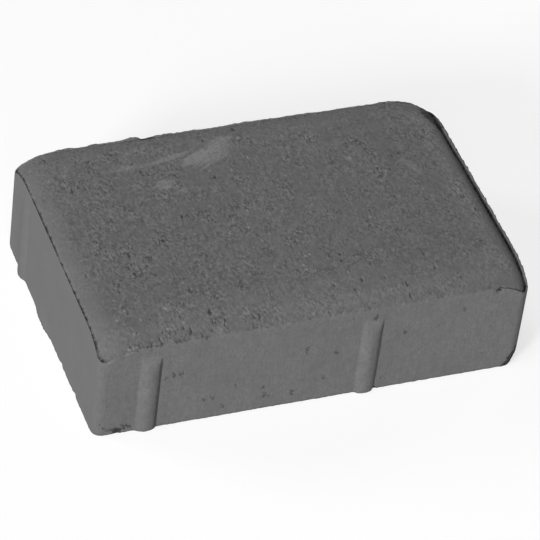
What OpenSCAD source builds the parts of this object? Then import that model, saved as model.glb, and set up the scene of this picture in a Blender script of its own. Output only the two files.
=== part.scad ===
// Concrete paving stone: one pressed block with a rolled top edge and spacer ribs on its sides.
// Millimetres, +Z up. The origin is the middle of the bed face, and X runs along the stone.

/* [Body] */
// Length along X, without the ribs
body_l = 207; // [170:1:300]
// Width along Y, without the ribs
body_w = 136; // [110:1:180]
// Height from the bed face to the flat of the top
body_h = 55; // [40:1:100]
// Radius of the four upright corners
corner_r = 5; // [3:0.5:10]

/* [Top] */
// Width of the band in which the top falls to the sides
fall_w = 23; // [16:1:25]
// Width of the inner part of that band, where it falls only slightly
ease_w = 12; // [8:1:15]
// Radius of the slight fall
ease_r = 180; // [100:10:300]
// Radius of the roll that follows it, down to the sides
roll_r = 25; // [22:1:60]
// Width of the lip that the press leaves along the top of the sides
lip_w = 1.5; // [0.8:0.1:2.5]
// How far the lip stands above the roll
lip_h = 1; // [0.3:0.1:2]

/* [Spacer ribs] */
// Width of a rib on its face
rib_w = 10; // [6:0.5:14]
// How far a rib stands out from its face
rib_proud = 2; // [1:0.25:3]
// Height over which the top of a rib runs back into its face
rib_runout = 6; // [2:0.5:8]
// Height of plain face between the top of a rib and the foot of the roll
rib_gap = 7; // [5:0.5:20]
// Distance from a face's left corner, seen from outside, to the middle of its first rib
rib_first = 24.5; // [16:0.5:40]
// Distance from the first rib of a long face to the second
rib_pitch = 105.5; // [60:0.5:120]

/* [Hidden] */
$fn = 64;
// Sides of the flat of the top
flat_l = body_l - 2 * fall_w;
flat_w = body_w - 2 * fall_w;
// Slope of the top where the slight fall ends and the roll begins
ease_angle = asin(ease_w / ease_r);
// Centre of the roll's arc, outward from the edge of the flat and down from its height
roll_out = (ease_r - roll_r) * sin(ease_angle);
roll_down = ease_r - (ease_r - roll_r) * cos(ease_angle);
// Distance from a corner of the flat to just past the upright corner of the stone
fall_reach = sqrt(2) * (fall_w - corner_r) + corner_r + 0.5;
// Drop of the top at some distance out from the flat, on the roll
function drop(out) = roll_down - sqrt(pow(roll_r, 2) - pow(out - roll_out, 2));
// Radius of a rib's round face, from its width and how far it stands out
rib_r = (rib_w * rib_w / 4 + rib_proud * rib_proud) / (2 * rib_proud);
// Height at which a rib reaches its face
rib_h = body_h - drop(fall_w) - rib_gap;
// Distance that a rib is carried on into the stone, so that the two are one solid
rib_root = 1;

// Plan of the stone, drawn in from its sides by a distance
module plan(inset) {
    l = body_l - 2 * inset;
    w = body_w - 2 * inset;
    r = corner_r - inset;
    square([l - 2 * r, w], center = true);
    square([l, w - 2 * r], center = true);
    for (x = [-1, 1], y = [-1, 1])
        translate([x * (l / 2 - r), y * (w / 2 - r)])
            circle(r);
}

// Section of the band under a top of some height, from the edge of the flat outward
module fall_section(top) {
    square([fall_reach, top - drop(fall_reach)]);
    intersection() {
        square([ease_w, top + 1]);
        translate([0, top - ease_r])
            circle(ease_r);
    }
    intersection() {
        translate([ease_w, 0])
            square([fall_reach - ease_w, top]);
        translate([roll_out, top - roll_down])
            circle(roll_r);
    }
}

// All the space under the face of the top: the flat, a falling band on each side and a round at each corner
module under_top(top) {
    translate([-flat_l / 2, -flat_w / 2, 0])
        cube([flat_l, flat_w, top]);
    for (turn = [0, 180])
        rotate(turn) {
            translate([-flat_l / 2, flat_w / 2, 0])
                rotate([90, 0, 90])
                    linear_extrude(flat_l)
                        fall_section(top);
            translate([flat_l / 2, flat_w / 2, 0])
                rotate([90, 0, 0])
                    linear_extrude(flat_w)
                        fall_section(top);
            for (end = [1, -1])
                translate([end * flat_l / 2, flat_w / 2, 0])
                    rotate(45 - end * 45)
                        rotate_extrude(angle = 90)
                            fall_section(top);
        }
}

// What fills the mould: the stone's plan, up to one lip above the pressed face
module blank() {
    intersection() {
        linear_extrude(body_h + 2 * lip_h)
            plan(0);
        under_top(body_h + lip_h);
    }
}

// The press pad: one lip smaller than the mould all round, with the top's face as its underside
module pad() {
    difference() {
        linear_extrude(body_h + 2 * lip_h)
            plan(lip_w);
        under_top(body_h);
    }
}

// One spacer rib against a face that lies in the XZ plane, standing out along -Y
module rib() {
    slope = rib_runout / rib_proud;
    intersection() {
        linear_extrude(body_h)
            intersection() {
                translate([0, rib_r - rib_proud])
                    circle(rib_r);
                translate([-rib_w, -2 * rib_proud])
                    square([2 * rib_w, 2 * rib_proud + rib_root]);
            }
        translate([-rib_w, 0, 0])
            rotate([90, 0, 90])
                linear_extrude(2 * rib_w)
                    polygon([
                        [rib_root, 0],
                        [rib_root, rib_h + slope * rib_root],
                        [-2 * rib_proud, rib_h - slope * 2 * rib_proud],
                        [-2 * rib_proud, 0],
                    ]);
    }
}

// The ribs keep to the left of each face, so that those of two stones laid side by side never meet
module ribs() {
    for (turn = [0, 180])
        rotate(turn) {
            for (step = [0, 1])
                translate([-body_l / 2 + rib_first + step * rib_pitch, -body_w / 2, 0])
                    rib();
            translate([-body_l / 2, body_w / 2 - rib_first, 0])
                rotate(-90)
                    rib();
        }
}

module paving_stone() {
    color([0.4, 0.4, 0.4]) {
        difference() {
            blank();
            pad();
        }
        ribs();
    }
}

paving_stone();
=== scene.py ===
import math

import bpy
import numpy as np
from mathutils import Matrix, Vector


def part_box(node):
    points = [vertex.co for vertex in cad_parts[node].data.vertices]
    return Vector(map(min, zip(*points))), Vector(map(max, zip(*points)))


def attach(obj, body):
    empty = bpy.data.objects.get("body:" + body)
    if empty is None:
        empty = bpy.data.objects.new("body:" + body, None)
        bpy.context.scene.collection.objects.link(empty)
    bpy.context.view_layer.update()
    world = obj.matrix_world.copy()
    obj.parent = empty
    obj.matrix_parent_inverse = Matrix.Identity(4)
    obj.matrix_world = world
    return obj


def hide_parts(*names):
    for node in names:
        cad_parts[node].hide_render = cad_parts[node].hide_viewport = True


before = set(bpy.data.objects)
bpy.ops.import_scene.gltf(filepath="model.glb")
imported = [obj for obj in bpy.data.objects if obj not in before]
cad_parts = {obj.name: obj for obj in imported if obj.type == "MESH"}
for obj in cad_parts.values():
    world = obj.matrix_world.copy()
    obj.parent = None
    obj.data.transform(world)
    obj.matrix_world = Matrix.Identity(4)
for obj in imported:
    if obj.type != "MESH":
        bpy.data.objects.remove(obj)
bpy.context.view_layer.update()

mm = 0.001
scene = bpy.context.scene

# Camera: a long lens, well above the stone and a little to the left of its front.
# It is tipped sideways, so that the stone lies askew in the picture.
film_width = 36.0
lens = 242.84
azimuth, elevation, tip = (math.radians(angle) for angle in (-24.585, 41.784, 7.733))
aim = Vector((-1.937, -10.824, 30.0)) * mm
stand_off = 1680.67 * mm

back = Vector((
    math.sin(azimuth) * math.cos(elevation),
    -math.cos(azimuth) * math.cos(elevation),
    math.sin(elevation),
))
level = Vector((math.cos(azimuth), math.sin(azimuth), 0.0))
upright = back.cross(level)
camera_right = level * math.cos(tip) + upright * math.sin(tip)
camera_up = upright * math.cos(tip) - level * math.sin(tip)

camera_data = bpy.data.cameras.new("camera")
camera_data.sensor_fit = "HORIZONTAL"
camera_data.sensor_width = film_width
camera_data.lens = lens
camera = bpy.data.objects.new("camera", camera_data)
scene.collection.objects.link(camera)
camera.matrix_world = (
    Matrix.Translation(aim + back * stand_off)
    @ Matrix((camera_right, camera_up, back)).transposed().to_4x4()
)
scene.camera = camera

# Studio: a pale sheet under the stone, a dim even sky, and five soft lamps: the main one low at the
# front left, a low one at the front, and weaker ones at the back left, at the back right and overhead.
# Sheet and sky look nearly white, but give the stone only the little light of a dull room.
sheet_size = 5.0
sheet_drop = 0.05 * mm
sheet_glow, sheet_white = 0.70, 0.36
sheet_return = 0.25
sky_light = 0.05
lamp_distance = 6.0
lamp_bank = {
    "main_lamp": {"azimuth": -52.0, "elevation": 21.5, "strength": 0.76, "size": (1.2, 1.2)},
    "front_lamp": {"azimuth": -12.0, "elevation": 9.5, "strength": 0.36, "size": (1.4, 1.4)},
    "back_lamp": {"azimuth": -122.0, "elevation": 24.0, "strength": 0.25, "size": (2.0, 2.0)},
    "right_lamp": {"azimuth": 118.0, "elevation": 16.0, "strength": 0.13, "size": (2.0, 2.0)},
    "top_lamp": {"azimuth": -60.0, "elevation": 72.0, "strength": 0.30, "size": (2.0, 2.0)},
}


def seen_or_lit(tree, seen, lit, outlet):
    """Shows one shader to the camera and in reflections, and lights the stone with the other."""
    path = tree.nodes.new("ShaderNodeLightPath")
    reflected = tree.nodes.new("ShaderNodeMath")
    reflected.operation = "MAXIMUM"
    tree.links.new(path.outputs["Is Glossy Ray"], reflected.inputs[0])
    tree.links.new(path.outputs["Is Transmission Ray"], reflected.inputs[1])
    looked_at = tree.nodes.new("ShaderNodeMath")
    looked_at.operation = "MAXIMUM"
    tree.links.new(path.outputs["Is Camera Ray"], looked_at.inputs[0])
    tree.links.new(reflected.outputs[0], looked_at.inputs[1])
    choice = tree.nodes.new("ShaderNodeMixShader")
    tree.links.new(looked_at.outputs[0], choice.inputs[0])
    tree.links.new(lit, choice.inputs[1])
    tree.links.new(seen, choice.inputs[2])
    tree.links.new(choice.outputs[0], outlet)


def plain_shader(tree, kind, grey, strength=None):
    """One shader of an even grey."""
    shader = tree.nodes.new(kind)
    shader.inputs["Color"].default_value = (grey, grey, grey, 1.0)
    if strength is not None:
        shader.inputs["Strength"].default_value = strength
    return shader.outputs[0]


sheet_finish = bpy.data.materials.new("pale_sheet")
sheet_finish.use_nodes = True
sheet_tree = sheet_finish.node_tree
sheet_tree.nodes.clear()
sheet_out = sheet_tree.nodes.new("ShaderNodeOutputMaterial")
sheet_seen = sheet_tree.nodes.new("ShaderNodeAddShader")
sheet_tree.links.new(plain_shader(sheet_tree, "ShaderNodeEmission", 1.0, sheet_glow), sheet_seen.inputs[0])
sheet_tree.links.new(plain_shader(sheet_tree, "ShaderNodeBsdfDiffuse", sheet_white), sheet_seen.inputs[1])
seen_or_lit(
    sheet_tree,
    sheet_seen.outputs[0],
    plain_shader(sheet_tree, "ShaderNodeBsdfDiffuse", sheet_return),
    sheet_out.inputs["Surface"],
)

half_sheet = sheet_size / 2
sheet_mesh = bpy.data.meshes.new("sheet")
sheet_mesh.from_pydata(
    [(x * half_sheet, y * half_sheet, -sheet_drop) for x, y in ((-1, -1), (1, -1), (1, 1), (-1, 1))],
    [],
    [(0, 1, 2, 3)],
)
sheet_mesh.materials.append(sheet_finish)
sheet = bpy.data.objects.new("sheet", sheet_mesh)
scene.collection.objects.link(sheet)

sky = bpy.data.worlds.new("sky")
sky.use_nodes = True
sky.node_tree.nodes.clear()
sky_out = sky.node_tree.nodes.new("ShaderNodeOutputWorld")
seen_or_lit(
    sky.node_tree,
    plain_shader(sky.node_tree, "ShaderNodeBackground", 1.0, 1.0),
    plain_shader(sky.node_tree, "ShaderNodeBackground", 1.0, sky_light),
    sky_out.inputs["Surface"],
)
scene.world = sky
scene.view_settings.view_transform = "Standard"

for name, lamp in lamp_bank.items():
    turn, rise = math.radians(lamp["azimuth"]), math.radians(lamp["elevation"])
    towards = Vector((math.sin(turn) * math.cos(rise), -math.cos(turn) * math.cos(rise), math.sin(rise)))
    lamp_data = bpy.data.lights.new(name, "AREA")
    lamp_data.shape = "RECTANGLE"
    lamp_data.size, lamp_data.size_y = lamp["size"]
    lamp_data.energy = lamp["strength"] * (math.pi * lamp_distance) ** 2
    lamp_stand = bpy.data.objects.new(name, lamp_data)
    lamp_stand.visible_camera = False
    scene.collection.objects.link(lamp_stand)
    lamp_stand.matrix_world = Matrix.LocRotScale(
        towards * lamp_distance, towards.to_track_quat("Z", "Y"), None
    )

# Paving stone: one block of earth-damp concrete, rammed into a steel mould under a press pad.
# The pad rolls the top's edges down and squeezes a thin broken lip up its own rim, and the mould's
# grooves leave an upright spacer rib or two on each side.
stone_low, stone_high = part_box("paving_stone")
rib_proud = 2.0 * mm
body_l = stone_high.x - stone_low.x - 2 * rib_proud
body_w = stone_high.y - stone_low.y - 2 * rib_proud
body_h = stone_high.z
corner_r = 5.0 * mm
stone_sizes = {
    "Length": body_l,
    "Width": body_w,
    "Height": body_h,
    "Corner radius": corner_r,
    "Fall width": 23.0 * mm,
    "Ease width": 12.0 * mm,
    "Ease radius": 180.0 * mm,
    "Roll radius": 25.0 * mm,
    "Lip height": 1.0 * mm,
    "Lip width": 1.0 * mm,
    "Rib width": 10.0 * mm,
    "Rib proud": rib_proud,
    "Rib run-out": 6.0 * mm,
    "Rib gap": 7.0 * mm,
    "First rib": 24.5 * mm,
    "Rib pitch": 105.5 * mm,
    "Wave depth": 0.20 * mm,
    "Grain depth": 0.05 * mm,
    "Void depth": 0.9 * mm,
    "Foot wear": 0.20 * mm,
    "Seed": 7.0,
}

# The blank: a closed block of small faces, straight sided, with its upright corners rounded.
# Its lines crowd towards the edges, and the bed, which lies on the ground, has only every fourth.
lines_x, lines_y, lines_z = 276, 184, 40
pitch_steps = 20001
close_pitch, pitch_growth = 0.36, 0.5
growth_width = 20.0 * mm
busy_half = 0.9 * mm
even_share = 0.55
bed_step = 4
bed_inset = 1.4 * mm


def crowded(count, side, busy=()):
    """Lines across the stone from -side to side, closer together at both ends and at busy places."""
    fine = np.linspace(-side, side, pitch_steps)
    pitch = close_pitch + pitch_growth * np.clip((side - np.abs(fine)) / growth_width, 0.0, 1.0)
    for place in busy:
        pitch = np.where(np.abs(np.abs(fine) - place) < busy_half, close_pitch, pitch)
    passed = np.concatenate([[0.0], np.cumsum(0.5 / pitch[1:] + 0.5 / pitch[:-1])])
    return np.interp(np.linspace(0.0, passed[-1], count + 1), passed, fine)


def rounded_grid(across, along):
    """Points of the plan in rows, with the squares at its corners turned into quarter discs."""
    x, y = np.meshgrid(across, along)
    over_x = np.abs(x) - (body_l / 2 - corner_r)
    over_y = np.abs(y) - (body_w / 2 - corner_r)
    far = np.maximum(np.maximum(over_x, over_y), 1e-9)
    near = np.maximum(np.minimum(over_x, over_y), 0.0)
    turn = 0.25 * np.pi * near / far
    long_part, short_part = far * np.cos(turn), far * np.sin(turn)
    round_x = np.where(over_x >= over_y, long_part, short_part) + body_l / 2 - corner_r
    round_y = np.where(over_x >= over_y, short_part, long_part) + body_w / 2 - corner_r
    x = np.where(near > 0, np.sign(x) * round_x, x)
    y = np.where(near > 0, np.sign(y) * round_y, y)
    return np.stack([x, y], axis=-1).reshape(-1, 2)


def rim_of(columns, rows):
    """Numbers of a grid's outer points, anticlockwise from its first corner."""
    number = np.arange((columns + 1) * (rows + 1)).reshape(rows + 1, columns + 1)
    return np.concatenate([number[0, :-1], number[:-1, -1], number[-1, :0:-1], number[:0:-1, 0]])


def squares_of(columns, rows):
    """The four corner numbers of each square of a grid, anticlockwise."""
    number = np.arange((columns + 1) * (rows + 1)).reshape(rows + 1, columns + 1)
    corners = (number[:-1, :-1], number[:-1, 1:], number[1:, 1:], number[1:, :-1])
    return np.stack([corner.ravel() for corner in corners], axis=-1)


rib_edge = 0.47 * stone_sizes["Rib width"]
first_rib, rib_pitch = stone_sizes["First rib"], stone_sizes["Rib pitch"]
long_ribs = [abs(body_l / 2 - first_rib - step * rib_pitch) for step in (0, 1)]
short_rib = body_w / 2 - first_rib
across = crowded(lines_x, body_l / 2, [rib + way * rib_edge for rib in long_ribs for way in (-1, 1)])
along = crowded(lines_y, body_w / 2, [short_rib + way * rib_edge for way in (-1, 1)])
top_points = rounded_grid(across, along)
rim = rim_of(lines_x, lines_y)
even = np.linspace(1.0, -1.0, lines_z + 1)[1:]
wall_heights = 0.5 + 0.5 * (even_share * even + (1.0 - even_share) * np.sin(0.5 * np.pi * even))
wall_points = np.tile(top_points[rim], (lines_z, 1))
bed_points = rounded_grid(
    across[::bed_step] * (1.0 - 2 * bed_inset / body_l), along[::bed_step] * (1.0 - 2 * bed_inset / body_w)
)

blank_points = np.concatenate([
    np.column_stack([top_points, np.full(len(top_points), body_h)]),
    np.column_stack([wall_points, np.repeat(wall_heights * body_h, len(rim))]),
    np.column_stack([bed_points, np.zeros(len(bed_points))]),
])
rings = [rim] + [len(top_points) + row * len(rim) + np.arange(len(rim)) for row in range(lines_z)]
blank_faces = squares_of(lines_x, lines_y).tolist()
for upper, lower in zip(rings, rings[1:]):
    blank_faces += np.column_stack([lower, np.roll(lower, -1), np.roll(upper, -1), upper]).tolist()
first_bed = len(top_points) + len(wall_points)
bed_squares = squares_of(lines_x // bed_step, lines_y // bed_step)
blank_faces += (first_bed + bed_squares[:, ::-1]).tolist()
bed_rim = first_bed + rim_of(lines_x // bed_step, lines_y // bed_step)
foot = np.append(rings[-1], rings[-1][0])
for place, inner in enumerate(bed_rim):
    outer = foot[place * bed_step:(place + 1) * bed_step + 1]
    following = bed_rim[(place + 1) % len(bed_rim)]
    blank_faces.append([int(inner), int(following), *outer[::-1].tolist()])

blank_mesh = bpy.data.meshes.new("concrete_block")
blank_mesh.from_pydata(blank_points.tolist(), [], blank_faces)
stone = bpy.data.objects.new("concrete_block", blank_mesh)
scene.collection.objects.link(stone)


class Reading:
    """A value read at every point; sums and products of readings add maths nodes to their tree."""

    def __init__(self, tree, socket):
        self.tree, self.socket = tree, socket

    def put(self, entry, value):
        if isinstance(value, Reading):
            self.tree.links.new(value.socket, entry)
        else:
            entry.default_value = value

    def worked(self, operation, *others):
        node = self.tree.nodes.new("ShaderNodeMath")
        node.operation = operation
        for entry, value in zip(node.inputs, (self, *others)):
            self.put(entry, value)
        return Reading(self.tree, node.outputs[0])

    def __add__(self, other):
        return self.worked("ADD", other)

    def __sub__(self, other):
        return self.worked("SUBTRACT", other)

    def __mul__(self, other):
        return self.worked("MULTIPLY", other)

    def __truediv__(self, other):
        return self.worked("DIVIDE", other)

    def __rsub__(self, other):
        return (self * -1.0).worked("ADD", other)

    def __neg__(self):
        return self * -1.0

    __radd__ = __add__
    __rmul__ = __mul__

    def least(self, other):
        return self.worked("MINIMUM", other)

    def most(self, other):
        return self.worked("MAXIMUM", other)

    def power(self, other):
        return self.worked("POWER", other)

    def size(self):
        return self.worked("ABSOLUTE")

    def sign(self):
        return self.worked("SIGN")

    def root(self):
        return self.worked("SQRT")

    def rise(self, start, end, low=0.0, high=1.0):
        """Goes smoothly from low to high as the reading goes from start to end."""
        node = self.tree.nodes.new("ShaderNodeMapRange")
        node.interpolation_type = "SMOOTHSTEP"
        for name, value in zip(
            ("Value", "From Min", "From Max", "To Min", "To Max"), (self, start, end, low, high)
        ):
            self.put(node.inputs[name], value)
        return Reading(self.tree, node.outputs["Result"])


def spot(*parts):
    """A place made of three readings or plain numbers, at least one of them a reading."""
    reading = next(part for part in parts if isinstance(part, Reading))
    node = reading.tree.nodes.new("ShaderNodeCombineXYZ")
    for entry, value in zip(node.inputs, parts):
        reading.put(entry, value)
    return Reading(reading.tree, node.outputs[0])


def parts_of(place):
    """The three readings that a place is made of."""
    node = place.tree.nodes.new("ShaderNodeSeparateXYZ")
    place.tree.links.new(place.socket, node.inputs[0])
    return [Reading(place.tree, socket) for socket in node.outputs]


def greatest(readings):
    """The largest of several readings."""
    largest = readings[0]
    for reading in readings[1:]:
        largest = largest.most(reading)
    return largest


def cloud(place, detail=2.0, roughness=0.5):
    """Cloudy unevenness about a unit across, from -0.5 to 0.5."""
    node = place.tree.nodes.new("ShaderNodeTexNoise")
    place.put(node.inputs["Vector"], place)
    node.inputs["Scale"].default_value = 1.0
    node.inputs["Detail"].default_value = detail
    node.inputs["Roughness"].default_value = roughness
    return Reading(place.tree, node.outputs[0]) - 0.5


def grains(place):
    """Distance to the nearest of many scattered grains, one a unit, and that grain's lot from 0 to 1."""
    node = place.tree.nodes.new("ShaderNodeTexVoronoi")
    place.put(node.inputs["Vector"], place)
    node.inputs["Scale"].default_value = 1.0
    lot = parts_of(Reading(place.tree, node.outputs["Color"]))[0]
    return Reading(place.tree, node.outputs["Distance"]), lot


# Pressing the blank: one tree gives it the top's fall, the lip and the ribs, then its surface.
press = bpy.data.node_groups.new("pressed_stone", "GeometryNodeTree")
press.interface.new_socket("Blank", in_out="INPUT", socket_type="NodeSocketGeometry")
press_entries = {}
for name, value in stone_sizes.items():
    press_entries[name] = press.interface.new_socket(name, in_out="INPUT", socket_type="NodeSocketFloat")
    press_entries[name].default_value = value
press.interface.new_socket("Stone", in_out="OUTPUT", socket_type="NodeSocketGeometry")
press_in = press.nodes.new("NodeGroupInput")
press_out = press.nodes.new("NodeGroupOutput")
given = {name: Reading(press, press_in.outputs[name]) for name in stone_sizes}


def at_points(kind):
    """What a node reads at each point of the stone."""
    return Reading(press, press.nodes.new(kind).outputs[0])


def set_places(geometry, place=None, offset=None):
    """Moves the points of the stone to a place or by an offset."""
    node = press.nodes.new("GeometryNodeSetPosition")
    press.links.new(geometry, node.inputs["Geometry"])
    if place:
        press.links.new(place.socket, node.inputs["Position"])
    if offset:
        press.links.new(offset.socket, node.inputs["Offset"])
    return node.outputs["Geometry"]


def noted(geometry, name, value):
    """Keeps a reading with the mesh, for the concrete's finish to use."""
    node = press.nodes.new("GeometryNodeStoreNamedAttribute")
    node.data_type = "FLOAT"
    node.domain = "POINT"
    press.links.new(geometry, node.inputs["Geometry"])
    node.inputs["Name"].default_value = name
    press.links.new(value.socket, node.inputs["Value"])
    return node.outputs["Geometry"]


def read_back(name):
    """A reading that was kept with the mesh."""
    node = press.nodes.new("GeometryNodeInputNamedAttribute")
    node.data_type = "FLOAT"
    node.inputs["Name"].default_value = name
    return Reading(press, node.outputs["Attribute"])


blank_x, blank_y, blank_z = parts_of(at_points("GeometryNodeInputPosition"))
side_x, side_y = blank_x.sign(), blank_y.sign()
flat_x = given["Length"] / 2.0 - given["Fall width"]
flat_y = given["Width"] / 2.0 - given["Fall width"]
past_x = (blank_x.size() - flat_x).most(0.0)
past_y = (blank_y.size() - flat_y).most(0.0)
past_flat = (past_x * past_x + past_y * past_y).root()

# Fall of the top: a slight one out of the flat, then a rounder roll, down to the sides
ease_w, ease_r, roll_r = given["Ease width"], given["Ease radius"], given["Roll radius"]
ease_slope = ease_w / ease_r
roll_centre = (ease_r - roll_r) * ease_slope
roll_depth = ease_r - (ease_r - roll_r) * (1.0 - ease_slope * ease_slope).root()
on_ease = past_flat.least(ease_w)
ease_drop = ease_r - (ease_r * ease_r - on_ease * on_ease).root()
on_roll = past_flat.most(ease_w) - roll_centre
roll_drop = roll_depth - (roll_r * roll_r - on_roll * on_roll).root()
rolling = (past_flat - ease_w).sign().most(0.0)
top_drop = ease_drop + (roll_drop - ease_drop) * rolling

# Way out of the nearest side, and the distance in from it
out_x = (blank_x.size() - (given["Length"] / 2.0 - given["Corner radius"])).most(0.0)
out_y = (blank_y.size() - (given["Width"] / 2.0 - given["Corner radius"])).most(0.0)
out_far = (out_x * out_x + out_y * out_y).root().most(1e-7)
from_side = given["Corner radius"] - out_far
way_x, way_y = side_x * out_x / out_far, side_y * out_y / out_far
facing = {
    "left": (-way_x).most(0.0) * (-way_x).most(0.0),
    "right": way_x.most(0.0) * way_x.most(0.0),
    "front": (-way_y).most(0.0) * (-way_y).most(0.0),
    "back": way_y.most(0.0) * way_y.most(0.0),
}

# Lip: thin and broken at the left, worn away at the front and widest at the right, where the pad sat
# short. Beside it runs the groove that the pad's rim pressed, deepest at the right.
def by_side(left, front, right, back):
    """A reading with its own value on each side of the stone, blended round the corners."""
    return facing["left"] * left + facing["front"] * front + facing["right"] * right + facing["back"] * back


lip_shift = given["Seed"] * 0.37
along_lip = cloud(spot(blank_x / (2.6 * mm) + lip_shift, blank_y / (2.6 * mm), 0.0), detail=2.0)
beads = cloud(spot(0.0, blank_y / (2.4 * mm), lip_shift), detail=3.0, roughness=0.6).rise(-0.10, 0.10)
runs = cloud(spot(lip_shift, blank_y / (15.0 * mm), lip_shift), detail=2.0).rise(-0.12, 0.10)
back_wave = cloud(spot(blank_x / (9.0 * mm), 0.0, lip_shift), detail=3.0) * 2.0
corner_dig = blank_y.rise(57.0 * mm, 65.0 * mm) + blank_y.rise(-56.0 * mm, -63.0 * mm) * 0.8
jagged = cloud(spot(blank_x / (1.3 * mm), blank_y / (1.3 * mm), lip_shift), detail=2.0)
back_end = blank_x.rise(94.0 * mm, 101.0 * mm)
far_corner = blank_x.rise(88.0 * mm, 96.0 * mm) * blank_y.rise(38.0 * mm, 46.0 * mm)
front_ends = blank_x.rise(-95.0 * mm, -101.0 * mm) + blank_x.rise(86.0 * mm, 90.0 * mm)
stub = blank_x.rise(-50.0 * mm, -46.0 * mm) * blank_x.rise(-41.5 * mm, -43.0 * mm)
gap = blank_x.rise(-42.5 * mm, -40.5 * mm) * blank_x.rise(-33.0 * mm, -37.0 * mm)
broad = blank_y.rise(18.0 * mm, 28.0 * mm) * blank_y.rise(50.0 * mm, 42.0 * mm)
right_lip = 0.82 + broad * 0.4 + along_lip * 1.2 + jagged * 0.6
right_lip = right_lip * blank_y.rise(56.0 * mm, 47.0 * mm, 0.25, 1.0)
lip_wide = given["Lip width"] * by_side(0.15, 0.25, right_lip, 0.6)
lip_rise = from_side.rise(lip_wide + 0.4 * mm, lip_wide - 0.1 * mm) * given["Lip height"]
lip_rise = lip_rise * by_side(
    (1.0 + along_lip * 2.2) * 0.6,
    (1.0 + jagged * 4.0) * (0.03 + front_ends * 0.3),
    (1.0 + along_lip * 3.0 + jagged * 2.0) * blank_y.rise(56.0 * mm, 46.0 * mm, 0.0, 0.75),
    (0.8 + back_wave * 1.4 + along_lip * 1.2 + stub * 0.9 - gap * 0.6).most(0.0),
).most(0.0)
groove_half = by_side(0.5 + beads * 0.4 + corner_dig * 0.2, 0.5, 1.1, 0.6 + gap * 0.3 + back_end * 0.4)
groove_half = (groove_half + far_corner * 0.5) * mm
from_groove = (from_side - lip_wide - groove_half).size()
grooved = from_groove.rise(groove_half, 0.0) * by_side(
    0.10 + (beads * (0.64 + runs * 0.4)).most(corner_dig * (1.3 + jagged * 4.0)),
    (1.0 + jagged * 4.0) * (0.02 + front_ends * 0.9),
    (1.0 + along_lip * 0.8) * blank_y.rise(20.0 * mm, -20.0 * mm, 2.3, 2.9),
    (1.0 + along_lip * 1.6) * (0.2 + gap * 2.0 + back_end * 1.8),
).most(0.0)
from_right = given["Length"] / 2.0 - blank_x
steeper = from_right.rise(5.0 * mm, 2.2 * mm) * from_right.rise(1.2 * mm, 2.4 * mm)
steeper = steeper * blank_y.size().rise(60.0 * mm, 50.0 * mm) * 0.55 * mm
lip_rise = lip_rise - grooved * given["Lip height"] - steeper

height_share = blank_z / given["Height"]
top_z = given["Height"] - top_drop + lip_rise
stone_z = height_share * top_z

# Ribs: each keeps to the left of its face, seen from outside
along_long = given["Length"] / 2.0 - side_y * blank_x
along_short = given["Width"] / 2.0 + side_x * blank_y
past_long = along_long - given["First rib"]
past_near = past_long - given["Rib pitch"] * (past_long - given["Rib pitch"] / 2.0).sign().most(0.0)
past_short = along_short - given["First rib"]
on_short = way_x.size().rise(0.5, 0.9)
on_long = 1.0 - on_short
to_rib = on_long * past_near.size() + on_short * past_short.size()
right_half = (on_long * past_near.sign()).most(0.0)
rib_across = (to_rib / given["Rib width"] * 2.0).least(1.0)
rib_fullness = 1.2 - right_half * to_rib.rise(0.0, 2.0 * mm) * 0.45
rib_bulge = (1.0 - rib_across * rib_across).power(rib_fullness) * given["Rib proud"]
rib_top = given["Height"] - top_drop - given["Rib gap"]
rib_slope = (rib_top - stone_z) * given["Rib proud"] / given["Rib run-out"]
rib_out = rib_bulge.worked("SMOOTH_MIN", rib_slope, 1.2 * mm).most(0.0)
on_wall = from_side.rise(0.02 * mm, 0.0) * (1.0 - height_share).sign()
rib_out = rib_out * on_wall

# Notes for the finish: painted shade for the shaded flank of each rib, and painted shade that blackens the
# far end of the right groove, widest beside the corner; the gap in the back lip is blackened too
# Painted shade: the flank of each rib that turns from the lamps is darkened in the tone
rib_flank_shade = right_half * to_rib.rise(2.6 * mm, 4.6 * mm) * to_rib.rise(5.4 * mm, 5.0 * mm)
rib_flank_shade = rib_flank_shade * on_wall * (rib_top - stone_z).rise(0.5 * mm, 4.0 * mm)
# Painted shade at the far right corner: the steep end of the groove there is painted black
shade_reach = blank_y.rise(52.0 * mm, 66.0 * mm, 9.5 * mm, 6.0 * mm)
shade_reach = shade_reach.least(blank_y.rise(40.0 * mm, 54.0 * mm, 4.5 * mm, 9.5 * mm))
blackened_shade = far_corner * from_right.rise(shade_reach, shade_reach * 0.4)
blackened_shade = blackened_shade * blank_y.rise(40.0 * mm, 52.0 * mm, 3.6, 4.4)
blackened_shade = blackened_shade * from_right.rise(0.8 * mm, 2.2 * mm).most(blank_y.rise(51.0 * mm, 56.0 * mm))
blackened_shade = blackened_shade.most(gap * facing["back"] * from_side.rise(3.2 * mm, 1.2 * mm))
blackened_shade = blackened_shade * height_share.rise(0.94, 1.0)
noted_blank = press_in.outputs["Blank"]
for name, value in {
    "pressed": height_share.rise(0.985, 1.0),
    "rolled": past_flat / given["Fall width"],
    "grooved": grooved.most(blackened_shade),
    "rib_flank_shade": rib_flank_shade,
    "short_rib": on_short * (rib_out / given["Rib proud"]).power(0.4),
    "from_side": from_side,
    "below_top": top_z - stone_z,
    "front": facing["front"],
    "corner": (way_x * way_y).size() * 2.0,
    "way_x": way_x,
    "way_y": way_y,
}.items():
    noted_blank = noted(noted_blank, name, value)
shaped = set_places(
    noted_blank,
    place=spot(blank_x + way_x * rib_out, blank_y + way_y * rib_out, stone_z),
)

# Surface: broad waves, pressed sand, air voids that the roll drags open, and worn edges
x, y, z = parts_of(at_points("GeometryNodeInputPosition"))
shift = given["Seed"] * 0.73
pressed, rolled, inward = read_back("pressed"), read_back("rolled"), read_back("from_side")
out_along_x, out_along_y = read_back("way_x"), read_back("way_y")
bedded = (1.0 - z / (0.5 * mm)).most(0.0) * inward.rise(0.0, 1.0 * mm)


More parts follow.
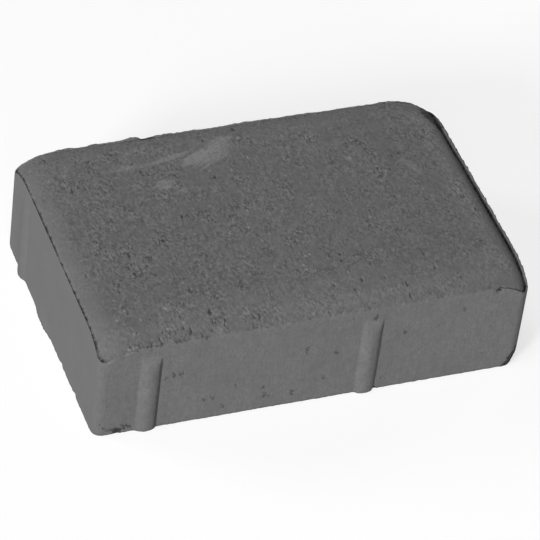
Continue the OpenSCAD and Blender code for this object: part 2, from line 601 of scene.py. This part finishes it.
def sampled(size_x, size_y, size_z):
    """The point in units of a pattern's own size along each axis."""
    return spot(x / (size_x * mm) + shift, y / (size_y * mm) + shift * 2.0, z / (size_z * mm) - shift)


waves = cloud(sampled(45, 45, 45), detail=1.0) * given["Wave depth"] * 2.0
sand = cloud(sampled(2.4, 2.4, 2.4), detail=3.0, roughness=0.6) * given["Grain depth"] * 2.0
sand = sand * (0.25 + pressed * 0.75)
to_void, void_lot = grains(sampled(4.2, 6.5, 5.5))
void_share = pressed * (0.08 + rolled.rise(0.35, 1.0) * 0.14) + (1.0 - pressed) * 0.04
void_size = void_lot.rise(1.0 - void_share, 1.0 - void_share * 0.3, 0.0, 0.17)
voids = (void_size - to_void).most(0.0) * given["Void depth"] * 3.0

# Open voids: the larger ones of the top, each drawn out a little along Y, by place and reach
void_drawn = 0.6
open_voids = [
    (-49.0, -56.0, 1.5), (-63.5, -62.0, 0.9), (-60.5, -64.2, 1.0), (-51.0, -65.0, 1.0), (-75.2, -65.6, 1.2),
    (-79.8, -66.2, 1.1), (25.2, -52.0, 1.0), (36.2, -52.5, 0.9), (44.5, -58.8, 1.2),
    (44.2, -65.0, 1.0), (61.0, -51.5, 0.9), (11.5, -52.2, 1.0), (-85.0, 35.5, 1.1), (-73.0, -12.8, 1.2),
    (-95.5, -20.5, 0.9), (-50.2, 41.2, 0.8), (-90.5, 61.5, 0.9), (-53.2, -40.8, 1.1), (-11.2, -11.8, 0.9),
    (8.0, -12.8, 0.9), (21.5, -33.2, 0.9), (-41.2, 7.0, 0.9), (-17.3, 30.3, 1.2),
    (-14.2, 56.6, 0.8), (2.5, 62.3, 1.2), (-49.6, 39.4, 0.7), (-47.0, 38.8, 0.6),
]
frayed = cloud(sampled(1.6, 1.6, 1.6), detail=2.0) * 1.4 * mm
void_shares = []
for void_x, void_y, reach in open_voids:
    apart_x, apart_y = x - void_x * mm + frayed, (y - void_y * mm) * void_drawn
    from_void = (apart_x * apart_x + apart_y * apart_y).root()
    void_shares.append(from_void.rise(0.9 * reach * mm, 0.2 * reach * mm))
opened = greatest(void_shares) * pressed
relief = (waves + sand - voids - opened * given["Void depth"] * 0.5) * (1.0 - bedded)

normal_x, normal_y, normal_z = parts_of(at_points("GeometryNodeInputNormal"))

# Foot: the bottom edge is slightly worn all round
near_foot = (z * z + inward.most(0.0) * inward.most(0.0)).root()
foot_wear = near_foot.rise(1.6 * mm, 0.0) * given["Foot wear"]
foot_wear = foot_wear * (
    0.8 + cloud(sampled(3.5, 3.5, 3.5), detail=3.0) * 2.2 + cloud(sampled(1.5, 1.5, 1.5), detail=2.0) * 2.6
).most(0.0)

# Arris: the front edge of the top has crumbled in places, the others hardly
below_top = read_back("below_top")
near_arris = (below_top * below_top + inward.most(0.0) * inward.most(0.0)).root()
crumbled = cloud(sampled(4.5, 9.0, 9.0), detail=3.0, roughness=0.6) * 3.0
crumbled = crumbled + x.rise(60.0 * mm, -60.0 * mm, -0.2, 0.2)
arris_wear = near_arris.rise(1.5 * mm, 0.0) * (0.12 + crumbled.most(0.0) * read_back("front")) * mm

# Knocks: the bottom corner that has been set down hardest, broken feet and a chip under the arris.
# The last entry is no knock, but the foot of the left side, which bulges a little
knocks = [
    {"at": (-92.5 * mm, -body_w / 2, 1.6 * mm), "reach": 3.2, "push": (0.0, 0.3, 0.0), "open": 1.0},
    {"at": (-88.0 * mm, -body_w / 2, 2.8 * mm), "reach": 3.2, "push": (0.0, 0.2, 0.0), "open": 0.35},
    {"at": (31.6 * mm, -body_w / 2, 0.6 * mm), "reach": 1.9, "push": (0.0, 0.4, 0.2), "open": 1.0},
    {"at": (87.0 * mm, -body_w / 2, 49.5 * mm), "reach": 2.4, "push": (0.0, 0.8, 0.0), "open": 1.0},
    {"at": (-body_l / 2, -19.0 * mm, 0.5 * mm), "reach": 2.6, "push": (0.5, 0.0, 0.3), "open": 0.5},
    {"at": (-body_l / 2, -39.5 * mm, 0.5 * mm), "reach": 2.6, "push": (0.5, 0.0, 0.3), "open": 0.5},
    {"at": (-body_l / 2, 10.0 * mm, 0.0), "reach": 14.0, "push": (-1.1, 0.0, 0.0), "open": 0.0},
]
raggedness = cloud(sampled(2.2, 2.2, 2.2), detail=3.0, roughness=0.65)
corner_way = (0.80, -0.42, -0.43)
corner_cut = 4.1 * mm
past_cut = (x - body_l / 2) * corner_way[0] + (y + body_w / 2) * corner_way[1] + z * corner_way[2]
past_cut = past_cut + corner_cut + raggedness * 2.2 * mm
knocked_share = past_cut.rise(-4.8 * mm, -1.4 * mm)
past_cut = past_cut.worked("SMOOTH_MAX", 0.0, 1.5 * mm)
knocked = [past_cut * -part for part in corner_way]
for knock in knocks:
    apart = [reading - where for reading, where in zip((x, y, z), knock["at"])]
    distance = (apart[0] * apart[0] + apart[1] * apart[1] + apart[2] * apart[2]).root()
    share = distance.rise(knock["reach"] * mm, 0.15 * knock["reach"] * mm)
    knocked_share = knocked_share.most(share * knock["open"])
    moved = share * (1.0 + raggedness * 1.8)
    knocked = [so_far + moved * (push * mm) for so_far, push in zip(knocked, knock["push"])]
shaped = noted(shaped, "knocked", knocked_share)
shaped = noted(shaped, "opened", opened.most((voids / given["Void depth"]).least(1.0)))

surfaced = set_places(
    shaped,
    offset=spot(
        normal_x * relief - out_along_x * (foot_wear + arris_wear * 0.7) + knocked[0],
        normal_y * relief - out_along_y * (foot_wear + arris_wear * 0.7) + knocked[1],
        (normal_z * relief + foot_wear * 0.35 - arris_wear * 0.7 + knocked[2]).most(-z),
    ),
)
smoothed = press.nodes.new("GeometryNodeSetShadeSmooth")
press.links.new(surfaced, smoothed.inputs["Geometry"])

# Concrete: grey cement paste over sand, darkened in its voids by painted shade, with pale grains and smears
# of paste
concrete = bpy.data.materials.new("concrete")
concrete.use_nodes = True
mix = concrete.node_tree
mix.nodes.clear()
mix_out = mix.nodes.new("ShaderNodeOutputMaterial")
paste = mix.nodes.new("ShaderNodeBsdfPrincipled")
mix.links.new(paste.outputs[0], mix_out.inputs["Surface"])
paste.inputs["Specular IOR Level"].default_value = 0.25

mix_place = Reading(mix, mix.nodes.new("ShaderNodeTexCoord").outputs["Object"])
mix_x, mix_y, mix_z = parts_of(mix_place)


def finish_note(name):
    """A reading that the pressing kept with the mesh."""
    node = mix.nodes.new("ShaderNodeAttribute")
    node.attribute_name = name
    return Reading(mix, node.outputs["Fac"])


def mix_sampled(size_x, size_y, size_z):
    """The point in units of a pattern's own size along each axis."""
    return spot(mix_x / (size_x * mm), mix_y / (size_y * mm), mix_z / (size_z * mm))


top_note, front_note, groove_dirt_and_shade = finish_note("pressed"), finish_note("front"), finish_note("grooved")
knock_note, void_note, rib_shade_note = finish_note("knocked"), finish_note("opened"), finish_note("rib_flank_shade")
corner_shade_note, short_rib_shade_note = finish_note("corner"), finish_note("short_rib")
patchy = cloud(mix_sampled(16, 16, 16), detail=4.0, roughness=0.6)
speckle = cloud(mix_sampled(1.15, 1.9, 1.5), detail=3.0, roughness=0.65)
mottle = cloud(mix_sampled(3.4, 4.8, 3.8), detail=2.0)
drawn = cloud(mix_sampled(0.9, 0.9, 9.0), detail=2.0)
clusters = cloud(mix_sampled(8, 11, 8), detail=3.0, roughness=0.55)
left_in, right_in = mix_x + body_l / 2, body_l / 2 - mix_x
front_in, back_in = mix_y + body_w / 2, body_w / 2 - mix_y

# Smears: thin paste that the pad wiped over the top, by middle, turn, half length and half width
smears = [
    {"middle": (-41.6, 30.4), "turn": 12.0, "half": (6.0, 3.4), "strength": 0.8},
    {"middle": (-20.7, 46.1), "turn": 26.0, "half": (11.0, 3.3), "strength": 1.25},
    {"middle": (-8.6, 52.8), "turn": 28.0, "half": (8.4, 4.2), "strength": 0.95},
    {"middle": (-13.5, 45.2), "turn": 32.0, "half": (13.5, 5.6), "strength": 0.85},
    {"middle": (-37.0, 47.2), "turn": 13.0, "half": (17.0, 1.8), "strength": 0.8},
    {"middle": (-57.0, 45.2), "turn": 3.0, "half": (13.0, 2.2), "strength": 0.45},
    {"middle": (76.0, 18.0), "turn": -63.0, "half": (8.0, 2.2), "strength": 0.6},
]
smear_thick = 10.0 * mm
smear_shares = []
for smear in smears:
    laid = mix.nodes.new("ShaderNodeMapping")
    laid.vector_type = "TEXTURE"
    laid.inputs["Location"].default_value = (smear["middle"][0] * mm, smear["middle"][1] * mm, body_h)
    laid.inputs["Rotation"].default_value = (0.0, 0.0, math.radians(smear["turn"]))
    laid.inputs["Scale"].default_value = (smear["half"][0] * mm, smear["half"][1] * mm, smear_thick)
    mix.links.new(mix_place.socket, laid.inputs["Vector"])
    along_smear, across_smear, above_smear = parts_of(Reading(mix, laid.outputs[0]))
    from_middle = along_smear * along_smear + across_smear * across_smear + above_smear * above_smear
    wiped_place = spot(along_smear * 1.4 + smear["turn"], across_smear * 2.6, above_smear)
    wiped = cloud(wiped_place, detail=3.0, roughness=0.6)
    streak_place = spot(along_smear * 1.2, across_smear * 5.0 + smear["turn"], above_smear)
    streak = cloud(streak_place, detail=2.0)
    laid_on = (from_middle.root() + wiped * 1.8).rise(1.0, 0.7) * (1.0 + wiped * 1.2 + streak * 2.2).most(0.0)
    smear_shares.append(laid_on * smear["strength"])
smeared = greatest(smear_shares) * top_note

# Open marks of the front face, by X, height and reach: single pores, the broken foot at its left end and
# the pits along its arris. They and the top's open voids have ragged edges; the front's are drawn out
# upright and the top's along Y. Marks only tint the paste with painted shade: they are too many for the bump
# to read.
front_marks = [
    (-71.0, 30.0, 1.9), (-67.8, 31.2, 1.6), (-64.0, 31.0, 1.9), (-52.0, 12.0, 1.7), (-47.5, 12.0, 1.6),
    (-42.8, 6.8, 1.8), (42.8, 33.5, 1.6), (35.0, 6.8, 1.7), (71.2, 41.0, 1.4), (10.0, 28.2, 1.6),
    (-4.5, 33.0, 1.8), (-23.5, 13.0, 1.9), (-22.5, 9.0, 2.1), (-9.5, 7.6, 2.0), (-37.5, 18.0, 1.4),
    (27.5, 46.0, 2.0), (5.5, 13.4, 1.9), (-92.4, 1.5, 2.2), (-91.0, 2.4, 1.7), (-93.8, 2.6, 1.5),
    (-89.2, 3.2, 1.3), (-87.6, 3.6, 1.4), (-86.0, 3.0, 1.1), (-95.5, 3.2, 1.3), (-97.3, 3.4, 1.3),
    (-98.8, 4.2, 1.1), (-100.5, 6.8, 1.2), (-90.0, 4.8, 1.1),
    (-82.0, 51.0, 1.3), (-80.3, 50.6, 1.4), (-78.8, 51.2, 1.3), (-77.2, 50.5, 1.4),
    (-75.4, 51.0, 1.3), (-68.4, 51.2, 1.3), (-66.6, 51.0, 1.5), (-64.8, 51.2, 1.2), (-54.5, 51.0, 1.5),
    (-50.5, 51.0, 1.3), (-25.5, 51.0, 1.4),
]
mark_upright, mark_spread = 0.7, 1.15
dash_narrow, dash_drawn, dash_spread = 1.3, 0.42, 1.1
ragged = speckle * 4.5 * mm


def marked_at(place, marks, spread):
    """Goes from 0 at the rim of each mark to 1 at its middle; a mark is given as its middle and reach."""
    shares = []
    for middle, reach in marks:
        apart = mix.nodes.new("ShaderNodeVectorMath")
        apart.operation = "DISTANCE"
        mix.links.new(place.socket, apart.inputs[0])
        apart.inputs[1].default_value = middle
        shares.append(Reading(mix, apart.outputs["Value"]).rise(spread * reach * mm, 0.0))
    return greatest(shares)


marked = marked_at(
    spot(mix_x + ragged, mix_y, mix_z * mark_upright - ragged),
    [
        ((mark_x * mm, -body_w / 2, mark_z * mark_upright * mm), reach)
        for mark_x, mark_z, reach in front_marks
    ],
    mark_spread,
)
dashed = top_note * marked_at(
    spot(mix_x * dash_narrow + ragged * 0.5, mix_y * dash_drawn, 0.0),
    [
        ((void_x * dash_narrow * mm, void_y * dash_drawn * mm, 0.0), reach)
        for void_x, void_y, reach in open_voids
    ],
    dash_spread,
)

# Pits and grains: open pits painted dark with their shade, most on the front roll and fewest at the ends, and
# pale sand grains
bare = 1.0 - smeared * 0.6
busy = left_in.rise(3.0 * mm, 16.0 * mm) * right_in.rise(2.0 * mm, 9.0 * mm)
busy = busy * mix_x.rise(-70.0 * mm, 10.0 * mm, 1.10, 0.88)
front_roll = front_in.rise(24.0 * mm, 12.0 * mm) * top_note * busy
front_wall = front_note * (1.0 - top_note)
clumped = (1.0 + clusters * 3.4 + patchy * 2.4).most(0.35)
round_pits = cloud(mix_sampled(1.4, 2.6, 2.1), detail=3.0, roughness=0.55)
drawn_pits = cloud(mix_sampled(1.4, 4.6, 3.6), detail=3.0, roughness=0.55)
pit_ground = round_pits + (drawn_pits - round_pits) * front_roll
pit_edge = 0.06
pit_level = 0.28 - front_wall * 0.055 - top_note * (0.015 + busy * 0.077) - front_roll * 0.015
pit_level = pit_level - clusters * (0.25 + top_note * 0.3) + smeared * 0.1
open_pits = pit_ground.rise(pit_level, pit_level + pit_edge)
pit_level = pit_level - void_note.most(dashed * 1.35) * 0.30 - marked * 0.42 - knock_note * 0.40
pits = pit_ground.rise(pit_level, pit_level + pit_edge)
faint = marked * (1.0 - knock_note) * mix_z.rise(2.0 * mm, 4.0 * mm)
faint = faint * mix_z.rise(50.0 * mm, 47.0 * mm) * 0.03
to_pale, pale_lot = grains(mix_sampled(2.6, 3.2, 2.8))
pale_size = (pale_lot + clusters * 0.3).rise(0.84, 1.0, 0.0, 0.42)
pale = to_pale.rise(pale_size, pale_size * 0.3) * pale_size.rise(0.0, 0.1)
pale = pale * (0.1 + top_note * (0.4 + busy * 0.5))

# Tone: an even grey, made uneven by patches, sand, pits and grains, with painted shade and dirt in the
# grooves, painted shade on the rib flanks and the sides' corners, painted light and shade on the top's rims,
# and painted shade on rough knocks.
# The middle and right of the front roll have crisper pits between quieter sand.
paste_grey, top_darker = 0.149, 0.010
# Painted shade and dirt in the grooves beside the lip: a beaded dark line, black at the far right corner
beaded_dirt_and_shade = cloud(mix_sampled(5.0, 1.2, 5.0), detail=2.0).rise(-0.1, 0.1, 0.42, 0.82)
beaded_dirt_and_shade = beaded_dirt_and_shade.most(groove_dirt_and_shade.rise(3.4, 4.0, 0.0, 0.92))
grain = 0.14 + (front_wall * 0.45 + top_note * (0.48 + busy * 1.28)) * clumped
crisp = front_roll * mix_x.rise(-60.0 * mm, 0.0)
patches = patchy * (0.16 + front_wall * 0.1 + top_note * 0.06)
patches = patches + mottle * (0.06 + front_wall * 0.2 + top_note * busy * 0.30)
sanded = speckle * bare * grain * (1.0 - crisp * 0.25)
sanded = sanded + drawn * (0.08 + front_note * 0.17) * (1.0 - top_note)
# Painted shade in the pits and marks
pit_shade = 0.48 - top_note * 0.03 + void_note.most(dashed) * 0.18 - faint + crisp * 0.14 + knock_note * 0.3
tone = (paste_grey - top_note * top_darker) * (1.0 + patches) * (1.0 + sanded)
# Knocked places are rough broken concrete, darkened further by painted shade
tone = tone * (1.0 - pits * pit_shade) * (1.0 - knock_note * 0.2)
tone = tone * (1.0 + pale * bare * (0.52 - crisp * 0.2)) * (1.0 + smeared * 0.40)
tone = tone * (1.0 - groove_dirt_and_shade.least(1.0) * beaded_dirt_and_shade)
# Painted shade on the shaded flank of each rib
tone = tone * (1.0 - rib_shade_note * mix_x.rise(-40.0 * mm, -70.0 * mm, 0.22, 0.36))
# Painted shade on the sides: the rounded upright corners and the short side's rib are darkened; the front
# face is also darker towards its left end, and the left face a little darker
side_shade = corner_shade_note.power(0.35) * 0.08 + front_wall * left_in.rise(34.0 * mm, 16.0 * mm) * 0.03
side_shade = side_shade + left_in.rise(2.0 * mm, 0.0) * 0.025 + short_rib_shade_note * 0.08
tone = tone * (1.0 - side_shade * (1.0 - top_note))
# Painted light and shade on the top's rims: lighter in from the right and back edges, darker beside the right
# groove, at the front left and along the front arris, and lighter across the front roll; the top also darkens
# a little towards the right
rim_light_and_shade = right_in.rise(21.0 * mm, 9.0 * mm) * right_in.rise(4.2 * mm, 8.5 * mm, 0.0, 0.21)
rim_light_and_shade = rim_light_and_shade + back_in.rise(24.0 * mm, 10.0 * mm) * 0.11
rim_light_and_shade = rim_light_and_shade + back_in.rise(10.0 * mm, 3.0 * mm) * 0.07
rim_light_and_shade = rim_light_and_shade - right_in.rise(6.0 * mm, 3.2 * mm) * right_in.rise(1.4 * mm, 2.6 * mm) * 0.27
rim_light_and_shade = rim_light_and_shade - left_in.rise(34.0 * mm, 10.0 * mm) * front_in.rise(30.0 * mm, 8.0 * mm) * 0.13
rim_light_and_shade = rim_light_and_shade + front_in.rise(26.0 * mm, 18.0 * mm) * front_in.rise(2.0 * mm, 9.0 * mm) * 0.06
rim_light_and_shade = rim_light_and_shade - front_in.rise(7.0 * mm, 1.0 * mm) * 0.08
tone = tone * (1.0 + (rim_light_and_shade - mix_x.rise(10.0 * mm, 80.0 * mm) * 0.05) * top_note)
grey = mix.nodes.new("ShaderNodeCombineColor")
for entry in grey.inputs:
    mix.links.new(tone.socket, entry)
mix.links.new(grey.outputs[0], paste.inputs["Base Color"])

# Sheen and bump: open pits are the mattest, wiped paste and the sides that slid on steel the least
bump_depth = 0.20 * mm
roughness = 0.93 + open_pits * 0.05 - smeared * 0.14 - (1.0 - top_note) * 0.05
mix.links.new(roughness.socket, paste.inputs["Roughness"])
bump = mix.nodes.new("ShaderNodeBump")
bump.inputs["Strength"].default_value = 1.0
bump.inputs["Distance"].default_value = bump_depth
rough_height = speckle * bare * grain * 0.8 + mottle * top_note * 0.6 - open_pits * 1.2 + pale * 0.4
mix.links.new(rough_height.socket, bump.inputs["Height"])
mix.links.new(bump.outputs[0], paste.inputs["Normal"])

# Out of the mould: the tree ends with the finish, and its result becomes the stone's own mesh
gathered = press.nodes.new("GeometryNodeRealizeInstances")
press.links.new(smoothed.outputs[0], gathered.inputs[0])
coated = press.nodes.new("GeometryNodeSetMaterial")
coated.inputs["Material"].default_value = concrete
press.links.new(gathered.outputs[0], coated.inputs["Geometry"])
press.links.new(coated.outputs[0], press_out.inputs["Stone"])

pressing = stone.modifiers.new("pressing", "NODES")
pressing.node_group = press
for name, value in stone_sizes.items():
    pressing[press_entries[name].identifier] = value
pressed_mesh = bpy.data.meshes.new_from_object(
    stone.evaluated_get(bpy.context.evaluated_depsgraph_get())
)
stone.modifiers.clear()
stone.data = pressed_mesh
bpy.data.meshes.remove(blank_mesh)
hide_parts("paving_stone")
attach(stone, "root")
